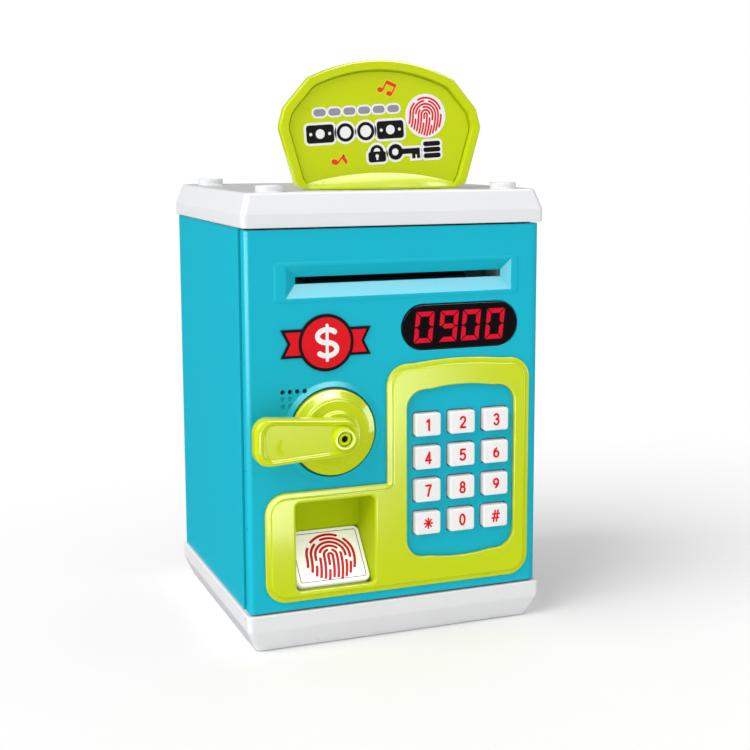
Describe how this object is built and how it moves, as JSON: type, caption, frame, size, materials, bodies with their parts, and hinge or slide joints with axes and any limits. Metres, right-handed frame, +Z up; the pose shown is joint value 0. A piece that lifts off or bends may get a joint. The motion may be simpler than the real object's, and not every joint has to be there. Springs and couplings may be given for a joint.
{
  "type": "toy money safe bank",
  "caption": "Toy cash-machine money bank: box with hinged front door, bill slot, coin slot, keypad, press pad, turning handle and a sign on top.",
  "frame": {"origin": "centre of the base's footprint, on the floor it stands on", "axes": "+X to the right of a person facing the door, +Y to the back, +Z up along the object's longest side"},
  "size_m": [0.133, 0.135, 0.244],
  "materials": {
    "white_shell": "smooth semi-gloss moulded plastic",
    "blue_shell": "smooth semi-gloss moulded plastic, cyan blue",
    "lime_trim": "glossy moulded plastic, lime green",
    "key_white": "smooth moulded plastic with printed legend",
    "inner_white": "plain unpainted inner moulding",
    "display_black": "glossy black window with red segment digits",
    "badge_print": "flat printed sticker",
    "board_green": "circuit board lacquer",
    "steel": "plain bright steel",
    "brass": "turned brass",
    "battery_jacket": "printed battery jacket",
    "rubber": "matt black rubber"
  },
  "bodies": {
    "case": {"base_tray": "white_shell", "body_shell": "blue_shell", "top_cap": "white_shell", "sign_board": "lime_trim", "base_screw_1": "steel", "base_screw_2": "steel", "base_screw_3": "steel", "base_screw_4": "steel"},
    "door": {"door_shell": "blue_shell", "door_back_cover": "inner_white", "cover_screw_1": "steel", "cover_screw_2": "steel", "cover_screw_3": "steel", "cover_screw_4": "steel", "hinge_pin_bottom": "steel", "hinge_pin_top": "steel", "keypad_bezel": "lime_trim", "key_mat": "rubber", "keypad_board": "board_green", "display_lens": "display_black", "display_module": "board_green", "badge": "badge_print", "speaker": "rubber", "pad_switch_board": "board_green", "lock_solenoid": "steel", "roller_frame": "inner_white", "roller_motor": "steel", "battery_1": "battery_jacket", "battery_2": "battery_jacket", "battery_3": "battery_jacket", "battery_contact_left": "steel", "battery_contact_right": "steel", "battery_cover": "inner_white", "battery_cover_screw": "steel", "speaker_cable": "rubber", "motor_cable": "rubber"},
    "handle": {"knob_disc": "lime_trim", "handle_lever": "lime_trim", "handle_shaft": "steel", "handle_screw": "steel"},
    "latch": {"latch_bolt": "inner_white", "latch_spring": "steel"},
    "finger_pad": {"fingerprint_pad": "key_white"},
    "feed_roller": {"drive_roller": "rubber", "drive_gear": "inner_white"},
    "pressure_roller": {"pinch_roller": "rubber"},
    "pinion": {"motor_pinion": "brass"},
    "key_1_cap": {"key_1": "key_white"},
    "key_2_cap": {"key_2": "key_white"},
    "key_3_cap": {"key_3": "key_white"},
    "key_4_cap": {"key_4": "key_white"},
    "key_5_cap": {"key_5": "key_white"},
    "key_6_cap": {"key_6": "key_white"},
    "key_7_cap": {"key_7": "key_white"},
    "key_8_cap": {"key_8": "key_white"},
    "key_9_cap": {"key_9": "key_white"},
    "key_star_cap": {"key_star": "key_white"},
    "key_0_cap": {"key_0": "key_white"},
    "key_hash_cap": {"key_hash": "key_white"}
  },
  "joints": [
    {"name": "door_hinge", "type": "hinge", "parent": "case", "child": "door", "pos_m": [0.0608, -0.0538, 0.096], "axis": [0, 0, 1], "range_deg": [0, 100]},
    {"name": "handle_turn", "type": "hinge", "parent": "door", "child": "handle", "pos_m": [-0.0295, -0.0585, 0.0914], "axis": [0, -1, 0], "range_deg": [0, 45]},
    {"name": "latch_slide", "type": "slide", "parent": "door", "child": "latch", "axis": [1, 0, 0], "range_m": [0, 0.0051], "deforming": ["latch_spring"]},
    {"name": "finger_pad_press", "type": "slide", "parent": "door", "child": "finger_pad", "axis": [0, 0.7455, -0.6665], "range_m": [0, 0.0015]},
    {"name": "feed_roller_spin", "type": "hinge", "parent": "door", "child": "feed_roller", "pos_m": [0, -0.045, 0.14925], "axis": [1, 0, 0], "continuous": true},
    {"name": "pressure_roller_spin", "type": "hinge", "parent": "door", "child": "pressure_roller", "pos_m": [0, -0.045, 0.15815], "axis": [1, 0, 0], "continuous": true},
    {"name": "motor_pinion_spin", "type": "hinge", "parent": "door", "child": "pinion", "pos_m": [0.05, -0.03694, 0.14119], "axis": [1, 0, 0], "continuous": true},
    {"name": "key_1_press", "type": "slide", "parent": "door", "child": "key_1_cap", "axis": [0, 1, 0], "range_m": [0, 0.0015]},
    {"name": "key_2_press", "type": "slide", "parent": "door", "child": "key_2_cap", "axis": [0, 1, 0], "range_m": [0, 0.0015]},
    {"name": "key_3_press", "type": "slide", "parent": "door", "child": "key_3_cap", "axis": [0, 1, 0], "range_m": [0, 0.0015]},
    {"name": "key_4_press", "type": "slide", "parent": "door", "child": "key_4_cap", "axis": [0, 1, 0], "range_m": [0, 0.0015]},
    {"name": "key_5_press", "type": "slide", "parent": "door", "child": "key_5_cap", "axis": [0, 1, 0], "range_m": [0, 0.0015]},
    {"name": "key_6_press", "type": "slide", "parent": "door", "child": "key_6_cap", "axis": [0, 1, 0], "range_m": [0, 0.0015]},
    {"name": "key_7_press", "type": "slide", "parent": "door", "child": "key_7_cap", "axis": [0, 1, 0], "range_m": [0, 0.0015]},
    {"name": "key_8_press", "type": "slide", "parent": "door", "child": "key_8_cap", "axis": [0, 1, 0], "range_m": [0, 0.0015]},
    {"name": "key_9_press", "type": "slide", "parent": "door", "child": "key_9_cap", "axis": [0, 1, 0], "range_m": [0, 0.0015]},
    {"name": "key_star_press", "type": "slide", "parent": "door", "child": "key_star_cap", "axis": [0, 1, 0], "range_m": [0, 0.0015]},
    {"name": "key_0_press", "type": "slide", "parent": "door", "child": "key_0_cap", "axis": [0, 1, 0], "range_m": [0, 0.0015]},
    {"name": "key_hash_press", "type": "slide", "parent": "door", "child": "key_hash_cap", "axis": [0, 1, 0], "range_m": [0, 0.0015]}
  ],
  "couplings": [
    {"joint": "latch_slide", "follows": "handle_turn", "m_per_rad": 0.006366},
    {"joint": "pressure_roller_spin", "follows": "feed_roller_spin", "ratio": -1.2857},
    {"joint": "motor_pinion_spin", "follows": "feed_roller_spin", "ratio": -2.8}
  ]
}
